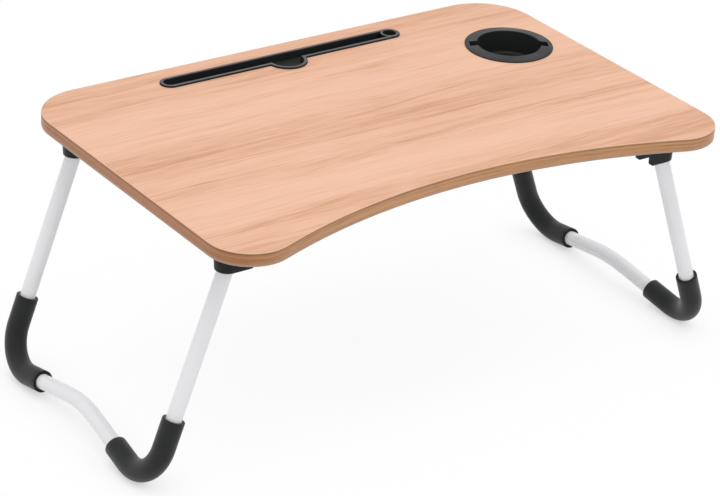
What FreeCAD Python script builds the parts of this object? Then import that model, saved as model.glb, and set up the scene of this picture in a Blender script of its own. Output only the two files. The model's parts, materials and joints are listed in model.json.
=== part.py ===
import FreeCAD, Part
import math
import os
import Sketcher
from enum import IntEnum
from FreeCAD import Placement, Rotation, Vector

# Folding laptop table: a laminated board with a tablet tray and a cup holder,
# carried by two bent tube legs that swing flat under it.
# Frame: X to the user's right, Y away from the user, Z up,
# origin on the floor under the middle of the board.

# Driving dimensions, in millimetres and degrees
DIMENSIONS = {
    # Board
    "table_height": 274,
    "board_width": 600,
    "board_depth": 402,
    "board_thickness": 14,
    "laminate_thickness": 0.6,
    "band_thickness": 1,
    "back_corner_radius": 60,
    "front_corner_radius": 44,
    "scoop_depth": 47.5,
    "glue_gap": 0.05,
    # Tablet tray
    "tray_length": 297.5,
    "tray_width": 22.6,
    "tray_from_back": 35,
    "tray_shift_left": 6.25,
    "tray_rim_width": 4,
    "tray_rim_height": 2,
    "tray_rim_lap": 2,
    "tray_rim_round": 0.8,
    "tray_depth": 8,
    "tray_floor": 1.6,
    "bump_radius": 22,
    "bump_forward": 8,
    "well_radius": 7,
    "well_lip": 3.2,
    "well_floor": 0.8,
    "insert_clearance": 0.2,
    # Cup holder
    "cup_from_side": 72.5,
    "cup_from_back": 121,
    "cup_turn": 29,
    "cup_flange_radius": 47.5,
    "cup_flange_edge": 1.2,
    "cup_crown_height": 2.8,
    "cup_mouth_radius": 34.4,
    "cup_collar_radius": 44,
    "cup_collar_depth": 10,
    "cup_depth": 25,
    "cup_wall": 2,
    "cup_floor": 2,
    "cup_floor_radius": 32,
    "cup_rim_round": 0.6,
    "cup_floor_round": 3,
    "notch_width": 12,
    "notch_radius": 42.5,
    "notch_depth": 6,
    # Hinge housings
    "pivot_from_side": 43.5,
    "pivot_drop": 20,
    "plate_thickness": 4,
    "plate_width": 46,
    "plate_margin": 4,
    "plate_corner": 6,
    "block_width": 25,
    "block_drop": 35,
    "block_inner_length": 18.5,
    "step_drop": 24,
    "step_length": 18.5,
    "outer_wall": 1.8,
    "outer_lean": 2.5,
    "block_round": 3.2,
    "block_corner": 12,
    "slot_clearance": 0.5,
    "cradle_clearance": 0.3,
    "swing_clearance": 0.6,
    # Pivot pins and housing screws
    "pin_diameter": 5,
    "pin_head_diameter": 9,
    "pin_head_height": 1.6,
    "pin_head_chamfer": 0.6,
    "pin_clearance": 0.05,
    "screw_diameter": 3.5,
    "screw_head_diameter": 7,
    "screw_length": 12,
    "screw_point": 2,
    "screw_inset": 7,
    "screw_clearance": 0.05,
    "screw_tip_room": 0.5,
    # Legs
    "leg_splay": 19.8,
    "leg_from_front": 66.7,
    "leg_from_back": 48.7,
    "leg_stagger": 10,
    "tube_diameter": 16,
    "tube_wall": 1.2,
    "tube_above_pivot": 8,
    "tube_hole_clearance": 0.3,
    "bend_radius": 38,
    "bar_rise": 10.4,
    "arch_radius": 140,
    "plug_length": 24,
    "plug_clearance": 0.05,
    "plug_cap": 2.4,
    "plug_cap_chamfer": 1.6,
    "sleeve_diameter": 23,
    "sleeve_clearance": 0.05,
    "sleeve_upper": 31,
    "sleeve_lower": 26.5,
    "sleeve_slip": 4,
    "sleeve_spare": 5,
    "sleeve_mouth": 1.2,
    "sleeve_round": 1,
    # How far a cutting shape runs past the face it opens
    "overrun": 5,
}

doc = FreeCAD.newDocument("laptop_table")
sheet = doc.addObject("Spreadsheet::Sheet", "dims")
for row, (alias, value) in enumerate(DIMENSIONS.items(), start=1):
    sheet.set(f"A{row}", alias)
    sheet.set(f"B{row}", str(value))
    sheet.setAlias(f"B{row}", alias)
doc.recompute()


class Size:
    """A dimension that keeps its number for drawing and its formula for the document."""

    def __init__(self, number, formula):
        self.number = number
        self.formula = formula

    def __add__(self, other):
        other = as_size(other)
        return Size(self.number + other.number, f"({self.formula} + {other.formula})")

    def __sub__(self, other):
        other = as_size(other)
        return Size(self.number - other.number, f"({self.formula} - {other.formula})")

    def __mul__(self, other):
        other = as_size(other)
        return Size(self.number * other.number, f"({self.formula} * {other.formula})")

    def __truediv__(self, other):
        other = as_size(other)
        return Size(self.number / other.number, f"({self.formula} / {other.formula})")

    def __neg__(self):
        return Size(-self.number, f"(-1 * {self.formula})")


def as_size(value):
    return value if isinstance(value, Size) else Size(value, str(value))


def dim(alias):
    """One cell of the sheet."""
    return Size(float(sheet.get(alias)), f"dims.{alias}")


def sine(angle):
    return Size(math.sin(math.radians(angle.number)), f"sin({angle.formula})")


def cosine(angle):
    return Size(math.cos(math.radians(angle.number)), f"cos({angle.formula})")


def tangent(angle):
    return Size(math.tan(math.radians(angle.number)), f"tan({angle.formula})")


def hypotenuse(one, other):
    number = math.hypot(one.number, other.number)
    return Size(number, f"sqrt({one.formula} ^ 2 + {other.formula} ^ 2)")


ZERO = as_size(0)
overrun = dim("overrun")

# Places that several pieces share
board_top = dim("table_height")
board_underside = board_top - dim("board_thickness")
tube_radius = dim("tube_diameter") / 2
sleeve_radius = dim("sleeve_diameter") / 2
pin_radius = dim("pin_diameter") / 2
screw_radius = dim("screw_diameter") / 2
screw_head_radius = dim("screw_head_diameter") / 2
splay = dim("leg_splay")
pivot_x = dim("board_width") / 2 - dim("pivot_from_side")
pivot_z = board_underside - dim("pivot_drop")
leg_span = dim("board_depth") - dim("leg_from_front") - dim("leg_from_back")
half_span = leg_span / 2
leg_middle = (dim("leg_from_front") - dim("leg_from_back")) / 2
leg_reach = (pivot_z - sleeve_radius) / cosine(splay)
upright_below_pivot = leg_reach - dim("bend_radius")

# Sideways and lengthways signs of the four corners
SIDES = {"left": -1, "right": 1}
ENDS = {"front": -1, "rear": 1}

# Sketcher's own numbers for axes and points
ORIGIN = H_AXIS = -1
V_AXIS = H_AXIS - 1
START, END, CENTRE = IntEnum("Point", "START END CENTRE")

# Two coordinates this close are the same
PRECISION = 1e-4

sub_parts = []


def new_body(label):
    body = doc.addObject("PartDesign::Body", label)
    body.Label = label
    sub_parts.append(body)
    return body


def place(body, x, y, z, axis=Vector(0, 0, 1), angle=None, half_turn=False):
    """Set a sub-part's place and keep it bound to the sheet."""
    turn = 180 if half_turn else (angle.number if angle else 0)
    spot = Vector(x.number, y.number, z.number)
    body.Placement = Placement(spot, Rotation(axis, turn))
    body.setExpression("Placement.Base.x", x.formula)
    body.setExpression("Placement.Base.y", y.formula)
    body.setExpression("Placement.Base.z", z.formula)
    if angle:
        body.setExpression("Placement.Rotation.Angle", angle.formula)


def new_sketch(body, name, role, height=None):
    """A sketch on one of the body's own planes, raised to a height if one is given."""
    sketch = body.newObject("Sketcher::SketchObject", name)
    plane = next(item for item in body.Origin.OriginFeatures if item.Role == role)
    sketch.AttachmentSupport = (plane, [""])
    sketch.MapMode = "FlatFace"
    if height:
        sketch.setExpression("AttachmentOffset.Base.z", height.formula)
    return sketch


def hold(sketch, kind, *where, size):
    """A constraint whose value comes from the sheet."""
    index = sketch.addConstraint(Sketcher.Constraint(kind, *where, size.number))
    sketch.setExpression(f"Constraints[{index}]", size.formula)


def locate(sketch, item, point, across, up):
    """Hold a point at its distances from the sketch's origin."""
    for kind, axis, size in (("DistanceX", V_AXIS, across), ("DistanceY", H_AXIS, up)):
        if size.number == 0:
            sketch.addConstraint(Sketcher.Constraint("PointOnObject", item, point, axis))
        elif size.number > 0:
            hold(sketch, kind, ORIGIN, START, item, point, size=size)
        else:
            hold(sketch, kind, item, point, ORIGIN, START, size=-size)


def polygon(sketch, corners):
    """A closed outline of straight edges."""
    points = [Vector(x.number, y.number, 0) for x, y in corners]
    count = len(points)
    first = sketch.GeometryCount
    for n in range(count):
        sketch.addGeometry(Part.LineSegment(points[n], points[(n + 1) % count]))
    for n in range(count):
        after = first + (n + 1) % count
        sketch.addConstraint(Sketcher.Constraint("Coincident", first + n, END, after, START))
    for n, (x, y) in enumerate(corners):
        locate(sketch, first + n, START, x, y)


def circle(sketch, x, y, radius):
    middle = Vector(x.number, y.number, 0)
    item = sketch.addGeometry(Part.Circle(middle, Vector(0, 0, 1), radius.number))
    hold(sketch, "Radius", item, size=radius)
    locate(sketch, item, CENTRE, x, y)


def arc(sketch, x, y, radius, from_angle, to_angle):
    """An arc drawn anticlockwise between two angles in degrees."""
    middle = Vector(x.number, y.number, 0)
    whole = Part.Circle(middle, Vector(0, 0, 1), radius.number)
    span = (math.radians(from_angle), math.radians(to_angle))
    return sketch.addGeometry(Part.ArcOfCircle(whole, *span))


def line(sketch, x1, y1, x2, y2):
    one = Vector(x1.number, y1.number, 0)
    other = Vector(x2.number, y2.number, 0)
    return sketch.addGeometry(Part.LineSegment(one, other))


def join_smoothly(sketch, one, one_point, other, other_point):
    sketch.addConstraint(Sketcher.Constraint("Tangent", one, one_point, other, other_point))


def rounded_slot(sketch, x, y, length, width):
    """A straight slot with half-round ends, along the sketch's first axis."""
    radius = width / 2
    left = x - (length / 2 - radius)
    right = x + (length / 2 - radius)
    back = line(sketch, right, y + radius, left, y + radius)
    left_end = arc(sketch, left, y, radius, 90, 270)
    front = line(sketch, left, y - radius, right, y - radius)
    right_end = arc(sketch, right, y, radius, -90, 90)
    loop = [back, left_end, front, right_end]
    for n, item in enumerate(loop):
        join_smoothly(sketch, item, END, loop[(n + 1) % len(loop)], START)
    hold(sketch, "Radius", left_end, size=radius)
    sketch.addConstraint(Sketcher.Constraint("Equal", left_end, right_end))
    locate(sketch, left_end, CENTRE, left, y)
    locate(sketch, right_end, CENTRE, right, y)


def thumb_bump(sketch, x, y, radius):
    """The bump's round, cut off straight along the middle of the slot that it widens."""
    forward = dim("bump_forward")
    rise = math.degrees(math.asin(forward.number / radius.number))
    half_chord = math.sqrt(radius.number ** 2 - forward.number ** 2)
    chord = sketch.addGeometry(Part.LineSegment(
        Vector(x.number + half_chord, y.number, 0), Vector(x.number - half_chord, y.number, 0)))
    front = arc(sketch, x, y - forward, radius, 180 - rise, 360 + rise)
    sketch.addConstraint(Sketcher.Constraint("Coincident", chord, END, front, START))
    sketch.addConstraint(Sketcher.Constraint("Coincident", front, END, chord, START))
    sketch.addConstraint(Sketcher.Constraint("Horizontal", chord))
    hold(sketch, "Radius", front, size=radius)
    locate(sketch, front, CENTRE, x, y - forward)
    if y.number == 0:
        sketch.addConstraint(Sketcher.Constraint("PointOnObject", chord, START, H_AXIS))
    else:
        hold(sketch, "DistanceY", ORIGIN, START, chord, START, size=y)


def board_outline(sketch, inset):
    """The board's plan: straight back and sides, round corners and a scooped front edge."""
    front_round = dim("front_corner_radius")
    corner_x = dim("board_width") / 2 - front_round
    corner_y = front_round - dim("board_depth") / 2
    depth = dim("scoop_depth")
    # The scoop is tangent to both front corners, which fixes its radius
    scoop = (corner_x * corner_x + depth * depth) / (depth * 2) - front_round
    scoop_y = depth - dim("board_depth") / 2 - scoop
    half_width = dim("board_width") / 2 - inset
    back = dim("board_depth") / 2 - inset
    back_radius = dim("back_corner_radius") - inset
    back_x = half_width - back_radius
    back_y = back - back_radius
    front_radius = front_round - inset
    scoop_radius = scoop + inset
    lean = math.degrees(math.atan2(corner_x.number, corner_y.number - scoop_y.number))

    back_edge = line(sketch, back_x, back, -back_x, back)
    back_left = arc(sketch, -back_x, back_y, back_radius, 90, 180)
    left_edge = line(sketch, -half_width, back_y, -half_width, corner_y)
    front_left = arc(sketch, -corner_x, corner_y, front_radius, 180, 270 + lean)
    scoop_edge = arc(sketch, ZERO, scoop_y, scoop_radius, 90 - lean, 90 + lean)
    front_right = arc(sketch, corner_x, corner_y, front_radius, -90 - lean, 0)
    right_edge = line(sketch, half_width, corner_y, half_width, back_y)
    back_right = arc(sketch, back_x, back_y, back_radius, 0, 90)

    join_smoothly(sketch, back_edge, END, back_left, START)
    join_smoothly(sketch, back_left, END, left_edge, START)
    join_smoothly(sketch, left_edge, END, front_left, START)
    join_smoothly(sketch, front_left, END, scoop_edge, END)
    join_smoothly(sketch, scoop_edge, START, front_right, START)
    join_smoothly(sketch, front_right, END, right_edge, START)
    join_smoothly(sketch, right_edge, END, back_right, START)
    join_smoothly(sketch, back_right, END, back_edge, START)
    sketch.addConstraint(Sketcher.Constraint("Horizontal", back_edge))
    for edge in (left_edge, right_edge):
        sketch.addConstraint(Sketcher.Constraint("Vertical", edge))
    hold(sketch, "Radius", back_left, size=back_radius)
    sketch.addConstraint(Sketcher.Constraint("Equal", back_left, back_right))
    hold(sketch, "Radius", front_left, size=front_radius)
    sketch.addConstraint(Sketcher.Constraint("Equal", front_left, front_right))
    hold(sketch, "Radius", scoop_edge, size=scoop_radius)
    hold(sketch, "DistanceX", left_edge, START, ORIGIN, START, size=half_width)
    hold(sketch, "DistanceX", ORIGIN, START, right_edge, START, size=half_width)
    hold(sketch, "DistanceY", ORIGIN, START, back_edge, START, size=back)
    hold(sketch, "DistanceY", front_left, CENTRE, ORIGIN, START, size=-corner_y)
    sketch.addConstraint(Sketcher.Constraint("PointOnObject", scoop_edge, CENTRE, V_AXIS))


def pad(body, sketch, length, downward=False, both_ways=False):
    feature = body.newObject("PartDesign::Pad", f"{sketch.Name}_pad")
    feature.Profile = sketch
    feature.SideType = "Symmetric" if both_ways else "One side"
    feature.Reversed = downward
    feature.setExpression("Length", length.formula)
    return feature


def cut(body, sketch, depth=None, upward=False, both_ways=False):
    """A pocket, right through where no depth is given, which has to take material away."""
    doc.recompute()
    before = body.Shape.Volume
    feature = body.newObject("PartDesign::Pocket", f"{sketch.Name}_cut")
    feature.Profile = sketch
    feature.SideType = "Symmetric" if both_ways else "One side"
    feature.Reversed = upward
    if depth:
        feature.setExpression("Length", depth.formula)
    else:
        feature.Type = "ThroughAll"
    doc.recompute()
    if not body.Shape.Volume < before:
        raise RuntimeError(f"{feature.Name} takes nothing away")
    return feature


def turn(body, sketch, axis="V_Axis"):
    """A full turn of a half section about one of its sketch's axes."""
    feature = body.newObject("PartDesign::Revolution", f"{sketch.Name}_turn")
    feature.Profile = sketch
    feature.ReferenceAxis = (sketch, [axis])
    return feature


def pick_edges(shape, wanted):
    """Names of the edges that a test accepts."""
    return [f"Edge{n}" for n, edge in enumerate(shape.Edges, start=1) if wanted(edge)]


def soften(body, kind, size, wanted):
    """Fillet or chamfer the edges that a test accepts."""
    doc.recompute()
    base = body.Tip
    names = pick_edges(base.Shape, wanted)
    if not names:
        raise RuntimeError(f"{body.Label} has no such edge to soften")
    feature = body.newObject(f"PartDesign::{kind}", f"{base.Name}_{kind.lower()}")
    feature.Base = (base, names)
    feature.setExpression("Radius" if kind == "Fillet" else "Size", size.formula)
    doc.recompute()
    return feature


def near(value, size):
    return abs(value - size.number) < PRECISION


def edge_level(edge):
    """The height of a level edge, or None."""
    box = edge.BoundBox
    return box.ZMin if box.ZLength < PRECISION else None


tray_x = -dim("tray_shift_left")
tray_y = dim("board_depth") / 2 - dim("tray_from_back")
cup_x = dim("board_width") / 2 - dim("cup_from_side")
cup_y = dim("board_depth") / 2 - dim("cup_from_back")

# Hinge housing sizes that the board, the pins and the screws share
slope = tangent(splay)
cradle_radius = tube_radius + dim("cradle_clearance")
outer_bottom = (
    cradle_radius / cosine(splay)
    + slope * (dim("block_drop") - dim("pivot_drop"))
    + dim("outer_wall")
)
outer_top = outer_bottom + dim("outer_lean")
inner_end = dim("block_inner_length") + dim("step_length")
plate_inner = inner_end + dim("plate_margin")
plate_outer = outer_top + dim("plate_margin")
screw_rows = (dim("screw_inset") - plate_inner, plate_outer - dim("screw_inset"))
screw_reach_y = (dim("plate_width") + dim("block_width")) / 4
screw_in_board = dim("screw_length") - dim("plate_thickness")
corners = [(side, end) for side in SIDES for end in ENDS]


def frame_y(side):
    """Middle of one leg frame: the left frame sits further back than the right one."""
    return leg_middle - dim("leg_stagger") / 2 * SIDES[side]


def corner_pivot(side, end):
    """Plan position of one hinge."""
    return pivot_x * SIDES[side], frame_y(side) + half_span * ENDS[end]


def screw_places():
    """Plan positions of all the housing screws."""
    for side, end in corners:
        x, y = corner_pivot(side, end)
        for row in screw_rows:
            for flank in ENDS.values():
                yield x + row * SIDES[side], y + screw_reach_y * flank


def tray_cuts(body, name, height, depth):
    """The board's recess for the tray: its long slot and the half-round thumb bump."""
    room = dim("insert_clearance") - dim("tray_rim_lap")
    slot = new_sketch(body, f"{name}_tray_slot", "XY_Plane", height)
    rounded_slot(slot, tray_x, tray_y, dim("tray_length") + room * 2, dim("tray_width") + room * 2)
    cut(body, slot, depth)
    bump = new_sketch(body, f"{name}_tray_bump", "XY_Plane", height)
    thumb_bump(bump, tray_x, tray_y, dim("bump_radius") + room)
    cut(body, bump, depth)


def cup_cut(body, name, height):
    hole = new_sketch(body, f"{name}_cup_hole", "XY_Plane", height)
    circle(hole, cup_x, cup_y, dim("cup_collar_radius") + dim("insert_clearance"))
    cut(body, hole)


def screw_cuts(body, name, depth):
    """Pilot holes for the housing screws, from the underside."""
    holes = new_sketch(body, f"{name}_pilot_holes", "XY_Plane")
    for x, y in screw_places():
        circle(holes, x, y, screw_radius + dim("screw_clearance"))
    cut(body, holes, depth, upward=True)


def make_board():
    """Core board, a laminate on each face and the band round the edge."""
    lamina = dim("laminate_thickness")
    core_thickness = dim("board_thickness") - lamina * 2
    inset = dim("band_thickness") + dim("glue_gap")

    core = new_body("board_core")
    plan = new_sketch(core, "core_plan", "XY_Plane")
    board_outline(plan, inset)
    pad(core, plan, core_thickness)
    cup_cut(core, "core", core_thickness)
    tray_cuts(core, "core", core_thickness, dim("tray_depth") - lamina)
    screw_cuts(core, "core", screw_in_board - lamina + dim("screw_tip_room"))
    place(core, ZERO, ZERO, board_underside + lamina)

    top = new_body("top_laminate")
    plan = new_sketch(top, "top_plan", "XY_Plane")
    board_outline(plan, inset)
    pad(top, plan, lamina)
    cup_cut(top, "top", lamina)
    tray_cuts(top, "top", lamina, None)
    place(top, ZERO, ZERO, board_top - lamina)

    bottom = new_body("bottom_laminate")
    plan = new_sketch(bottom, "bottom_plan", "XY_Plane")
    board_outline(plan, inset)
    pad(bottom, plan, lamina)
    cup_cut(bottom, "bottom", lamina)
    screw_cuts(bottom, "bottom", None)
    place(bottom, ZERO, ZERO, board_underside)

    band = new_body("edge_band")
    plan = new_sketch(band, "band_plan", "XY_Plane")
    board_outline(plan, ZERO)
    pad(band, plan, dim("board_thickness"))
    inner = new_sketch(band, "band_inner_plan", "XY_Plane", dim("board_thickness"))
    board_outline(inner, dim("band_thickness"))
    cut(band, inner)
    place(band, ZERO, ZERO, board_underside)


def make_tray():
    """Tablet tray: a rimmed trough with a thumb bump and a pen well, let into the board."""
    tray = new_body("tablet_tray")
    length, width = dim("tray_length"), dim("tray_width")
    bump = dim("bump_radius")
    rim_height = dim("tray_rim_height")
    depth = dim("tray_depth")
    lap, rim = dim("tray_rim_lap"), dim("tray_rim_width")
    trough_depth = rim_height + depth - dim("tray_floor")

    sketch = new_sketch(tray, "rim_slot", "XY_Plane")
    rounded_slot(sketch, ZERO, ZERO, length, width)
    pad(tray, sketch, rim_height)
    sketch = new_sketch(tray, "rim_bump", "XY_Plane")
    thumb_bump(sketch, ZERO, ZERO, bump)
    pad(tray, sketch, rim_height)
    sketch = new_sketch(tray, "tub_slot", "XY_Plane")
    rounded_slot(sketch, ZERO, ZERO, length - lap * 2, width - lap * 2)
    pad(tray, sketch, depth, downward=True)
    sketch = new_sketch(tray, "tub_bump", "XY_Plane")
    thumb_bump(sketch, ZERO, ZERO, bump - lap)
    pad(tray, sketch, depth, downward=True)
    sketch = new_sketch(tray, "trough_slot", "XY_Plane", rim_height)
    rounded_slot(sketch, ZERO, ZERO, length - rim * 2, width - rim * 2)
    cut(tray, sketch, trough_depth)
    sketch = new_sketch(tray, "trough_bump", "XY_Plane", rim_height)
    thumb_bump(sketch, ZERO, ZERO, bump - rim)
    cut(tray, sketch, trough_depth)
    well_x = length / 2 - width / 2
    mid_wall = width / 2 - (lap + rim) / 2
    sketch = new_sketch(tray, "well_post", "XY_Plane", dim("tray_floor") - depth)
    circle(sketch, well_x, ZERO, mid_wall)
    pad(tray, sketch, trough_depth)
    sketch = new_sketch(tray, "well_ring", "XY_Plane")
    circle(sketch, well_x, ZERO, dim("well_radius") + dim("well_lip"))
    pad(tray, sketch, rim_height)
    sketch = new_sketch(tray, "well_bore", "XY_Plane", rim_height)
    circle(sketch, well_x, ZERO, dim("well_radius"))
    cut(tray, sketch, rim_height + depth - dim("well_floor"))
    soften(tray, "Fillet", dim("tray_rim_round"), lambda edge: edge_level(edge) is not None
           and near(edge_level(edge), rim_height))
    place(tray, tray_x, tray_y, board_top)


def make_cup_holder():
    """Cup holder: a crowned flange on the board, a collar in its hole and a shallow cup."""
    cup = new_body("cup_holder")
    crown, wall = dim("cup_crown_height"), dim("cup_wall")
    mouth, floor_radius = dim("cup_mouth_radius"), dim("cup_floor_radius")
    collar_foot = -dim("cup_collar_depth")
    floor_top = crown - dim("cup_depth")
    floor_bottom = floor_top - dim("cup_floor")
    section = new_sketch(cup, "cup_section", "XZ_Plane")
    polygon(section, [
        (ZERO, floor_bottom),
        (floor_radius + wall, floor_bottom),
        (mouth + wall, collar_foot),
        (dim("cup_collar_radius"), collar_foot),
        (dim("cup_collar_radius"), ZERO),
        (dim("cup_flange_radius"), ZERO),
        (dim("cup_flange_radius"), dim("cup_flange_edge")),
        (mouth, crown),
        (floor_radius, floor_top),
        (ZERO, floor_top),
    ])
    turn(cup, section)
    soften(cup, "Fillet", dim("cup_floor_round"), lambda edge: edge_level(edge) is not None
           and near(edge_level(edge), floor_top) and near(edge.BoundBox.XMax, floor_radius))
    rim_levels = (dim("cup_flange_edge"), crown)
    soften(cup, "Fillet", dim("cup_rim_round"), lambda edge: edge_level(edge) is not None
           and any(near(edge_level(edge), level) for level in rim_levels))
    notch = new_sketch(cup, "cup_notches", "XY_Plane", crown + overrun)
    reach, half = dim("notch_radius"), dim("notch_width") / 2
    polygon(notch, [(-reach, -half), (reach, -half), (reach, half), (-reach, half)])
    cut(cup, notch, crown + overrun + dim("notch_depth"))
    place(cup, cup_x, cup_y, board_top, axis=Vector(0, 0, -1), angle=dim("cup_turn"))


def make_housing(side, end):
    """Hinge housing: a screwed plate with two cheeks for the leg and a wall that stops it."""
    housing = new_body(f"hinge_housing_{end}_{side}")
    prefix = f"{end}_{side}"
    drop, pivot = dim("block_drop"), -dim("pivot_drop")
    inner, step = dim("block_inner_length"), dim("step_drop")
    width = dim("block_width")

    profile = new_sketch(housing, f"{prefix}_block", "XZ_Plane")
    polygon(profile, [
        (-inner_end, ZERO),
        (-inner_end, -step),
        (-inner, -step),
        (-inner, -drop),
        (outer_bottom, -drop),
        (outer_top, ZERO),
    ])
    pad(housing, profile, width, both_ways=True)

    def upright_outer(edge):
        box = edge.BoundBox
        return box.XMin > 0 and box.ZLength > 0 and box.YLength < PRECISION

    def lower_inner(edge):
        box = edge.BoundBox
        level = near(box.ZMin, -drop) and near(box.XMin, -inner)
        stepped = near(box.ZMin, -step) and near(box.XMin, -inner_end)
        return (level or stepped) and near(box.YLength, width) and box.XLength < PRECISION

    soften(housing, "Fillet", dim("block_corner"), upright_outer)
    soften(housing, "Fillet", dim("block_round"), lower_inner)

    plate = new_sketch(housing, f"{prefix}_plate", "XY_Plane")
    plate_half = dim("plate_width") / 2
    polygon(plate, [
        (-plate_inner, -plate_half),
        (plate_outer, -plate_half),
        (plate_outer, plate_half),
        (-plate_inner, plate_half),
    ])
    pad(housing, plate, dim("plate_thickness"), downward=True)
    soften(housing, "Fillet", dim("plate_corner"), lambda edge: near(edge.BoundBox.ZLength,
           dim("plate_thickness")) and near(abs(edge.BoundBox.Center.y), plate_half))

    slot_width = (tube_radius + dim("slot_clearance")) * 2
    bottom = drop + overrun
    inside = -(inner_end + overrun)
    slot = new_sketch(housing, f"{prefix}_slot", "XZ_Plane")
    polygon(slot, [
        (ZERO, pivot),
        (slope * (bottom - dim("pivot_drop")), -bottom),
        (inside, -bottom),
        (inside, -dim("plate_thickness")),
        (ZERO, -dim("plate_thickness")),
    ])
    cut(housing, slot, slot_width, both_ways=True)
    swing = new_sketch(housing, f"{prefix}_swing", "XZ_Plane")
    cap_height = dim("tube_above_pivot") + dim("plug_cap")
    cap_radius = tube_radius - dim("plug_cap_chamfer")
    swing_radius = hypotenuse(cap_height, cap_radius) + dim("swing_clearance")
    circle(swing, ZERO, pivot, swing_radius)
    cut(housing, swing, slot_width, both_ways=True)
    cradle = new_sketch(housing, f"{prefix}_cradle", "XY_Plane")
    tilt = Rotation(Vector(0, -1, 0), splay.number)
    cradle.AttachmentOffset = Placement(Vector(0, 0, pivot.number), tilt)
    cradle.setExpression("AttachmentOffset.Base.z", pivot.formula)
    cradle.setExpression("AttachmentOffset.Rotation.Angle", splay.formula)
    circle(cradle, ZERO, ZERO, cradle_radius)
    cut(housing, cradle)
    bore = new_sketch(housing, f"{prefix}_pin_bore", "XZ_Plane")
    circle(bore, ZERO, pivot, pin_radius + dim("pin_clearance"))
    cut(housing, bore, both_ways=True)

    holes = new_sketch(housing, f"{prefix}_screw_holes", "XY_Plane")
    hole_radius = screw_radius + dim("screw_clearance")
    for row in screw_rows:
        for flank in ENDS.values():
            circle(holes, row, screw_reach_y * flank, hole_radius)
    cut(housing, holes)
    soften(housing, "Chamfer", screw_head_radius - screw_radius,
           lambda edge: edge_level(edge) is not None
           and near(edge_level(edge), -dim("plate_thickness"))
           and near(edge.BoundBox.XLength, hole_radius * 2))
    x, y = corner_pivot(side, end)
    place(housing, x, y, board_underside, half_turn=side == "left")


def make_pin(side, end):
    """Pivot pin: a rivet through both cheeks and the leg's end."""
    pin = new_body(f"pivot_pin_{end}_{side}")
    reach = dim("block_width") / 2
    head, radius = dim("pin_head_height"), dim("pin_head_diameter") / 2
    chamfer = dim("pin_head_chamfer")
    section = new_sketch(pin, f"{end}_{side}_pin_section", "YZ_Plane")
    half_section = [
        (reach + head, ZERO),
        (reach + head, radius - chamfer),
        (reach + head - chamfer, radius),
        (reach, radius),
        (reach, pin_radius),
    ]
    mirrored = [(-x, y) for x, y in reversed(half_section)]
    polygon(section, half_section + mirrored)
    turn(pin, section, "H_Axis")
    x, y = corner_pivot(side, end)
    place(pin, x, y, pivot_z)


def make_screws():
    """All the countersunk housing screws, as one group of separate solids."""
    pattern = doc.addObject("PartDesign::Body", "screw_pattern")
    section = new_sketch(pattern, "screw_section", "XZ_Plane")
    length, point = dim("screw_length"), dim("screw_point")
    polygon(section, [
        (ZERO, ZERO),
        (screw_head_radius, ZERO),
        (screw_radius, screw_head_radius - screw_radius),
        (screw_radius, length - point),
        (ZERO, length),
    ])
    turn(pattern, section)
    doc.recompute()
    head_level = board_underside - dim("plate_thickness")
    screws = []
    for x, y in screw_places():
        screw = pattern.Shape.Solids[0].copy()
        screw.translate(Vector(x.number, y.number, head_level.number))
        screws.append(screw)
    group = doc.addObject("Part::Feature", "housing_screws")
    group.Label = "housing_screws"
    group.Shape = Part.makeCompound(screws)
    sub_parts.append(group)


def sit_on_leg(body, side, end=None):
    """Place a piece that is drawn about the pivot axis, leaning with its leg."""
    y = frame_y(side) + half_span * ENDS[end] if end else frame_y(side)
    place(body, pivot_x * SIDES[side], y, pivot_z, axis=Vector(0, -SIDES[side], 0), angle=splay)


def draw_tube_path(sketch):
    """The leg's line: two uprights, two bends and a foot bar that arches in the middle."""
    bend, rise, arch = dim("bend_radius"), dim("bar_rise"), dim("arch_radius")
    top, foot = dim("tube_above_pivot"), -upright_below_pivot
    bend_x = half_span - bend
    bend_end_x = bend_x - bend * sine(rise)
    bend_end_y = foot - bend * cosine(rise)
    arch_x = arch * sine(rise)
    arch_end_y = bend_end_y + (bend_end_x - arch_x) * tangent(rise)
    arch_y = arch_end_y - arch * cosine(rise)
    angle = rise.number

    rear = line(sketch, half_span, top, half_span, foot)
    rear_bend = arc(sketch, bend_x, foot, bend, -90 - angle, 0)
    rear_bar = line(sketch, bend_end_x, bend_end_y, arch_x, arch_end_y)
    middle = arc(sketch, ZERO, arch_y, arch, 90 - angle, 90 + angle)
    front_bar = line(sketch, -arch_x, arch_end_y, -bend_end_x, bend_end_y)
    front_bend = arc(sketch, -bend_x, foot, bend, 180, 270 + angle)
    front = line(sketch, -half_span, foot, -half_span, top)

    join_smoothly(sketch, rear, END, rear_bend, END)
    join_smoothly(sketch, rear_bend, START, rear_bar, START)
    join_smoothly(sketch, rear_bar, END, middle, START)
    join_smoothly(sketch, middle, END, front_bar, START)
    join_smoothly(sketch, front_bar, END, front_bend, END)
    join_smoothly(sketch, front_bend, START, front, START)
    for item in (rear_bend, front_bend):
        hold(sketch, "Radius", item, size=bend)
    hold(sketch, "Radius", middle, size=arch)
    locate(sketch, rear, START, half_span, top)
    locate(sketch, front, END, -half_span, top)
    locate(sketch, rear_bend, CENTRE, bend_x, foot)
    locate(sketch, front_bend, CENTRE, -bend_x, foot)
    locate(sketch, middle, CENTRE, ZERO, arch_y)


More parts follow.
